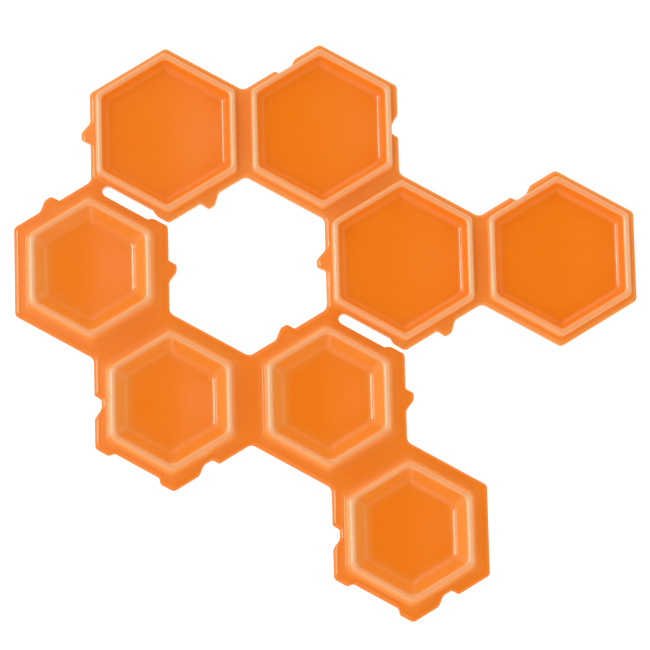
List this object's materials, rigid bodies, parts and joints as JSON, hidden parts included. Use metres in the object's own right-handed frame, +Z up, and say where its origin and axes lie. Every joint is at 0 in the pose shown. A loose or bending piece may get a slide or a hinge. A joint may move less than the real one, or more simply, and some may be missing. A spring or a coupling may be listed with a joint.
{
  "type": "honeycomb gel pad set",
  "caption": "Soft orange gel pads on a honeycomb: dished hexagons with raised rims in two strips of different size, joined by two narrow necks, for damping a drumhead or a practice surface.",
  "frame": {"origin": "on the underside plane, under the middle of the whole set's box", "axes": "+Z up out of the dishes, +X along the rows of the honeycomb towards the large strip's far end, +Y towards the large strip"},
  "size_m": [0.1518, 0.1418, 0.0066],
  "materials": {
    "gel": "glossy soft orange gel, slightly tacky"
  },
  "bodies": {
    "large_pad_2": {"large_pad_2": "gel", "large_pad_1": "gel", "large_pad_3": "gel", "large_web_1": "gel", "large_web_2": "gel", "large_web_3": "gel", "neck_1": "gel", "neck_2": "gel"},
    "large_pad_4": {"large_pad_4": "gel"},
    "small_pad_2": {"small_pad_2": "gel", "small_pad_1": "gel", "small_pad_3": "gel", "small_web_1": "gel", "small_web_2": "gel", "small_web_3": "gel"},
    "small_pad_4": {"small_pad_4": "gel"}
  },
  "joints": [
    {"name": "large_end_bend", "type": "hinge", "parent": "large_pad_2", "child": "large_pad_4", "pos_m": [0.038, 0.01645, 0.0013], "axis": [0, -1, 0], "range_deg": [-90, 38], "stiffness_Nm_per_rad": 0.002, "deforming": ["large_web_3"]},
    {"name": "strip_fold", "type": "hinge", "parent": "large_pad_2", "child": "small_pad_2", "pos_m": [-0.01914, 0.01622, 0.0013], "axis": [-0.866, 0.5, 0], "range_deg": [-30, 40], "stiffness_Nm_per_rad": 0.001, "deforming": ["neck_1", "neck_2"]},
    {"name": "small_end_bend", "type": "hinge", "parent": "small_pad_2", "child": "small_pad_4", "pos_m": [0.0095, -0.03291, 0.0013], "axis": [-0.866, -0.5, 0], "range_deg": [-90, 72], "stiffness_Nm_per_rad": 0.002, "deforming": ["small_web_3"]}
  ]
}
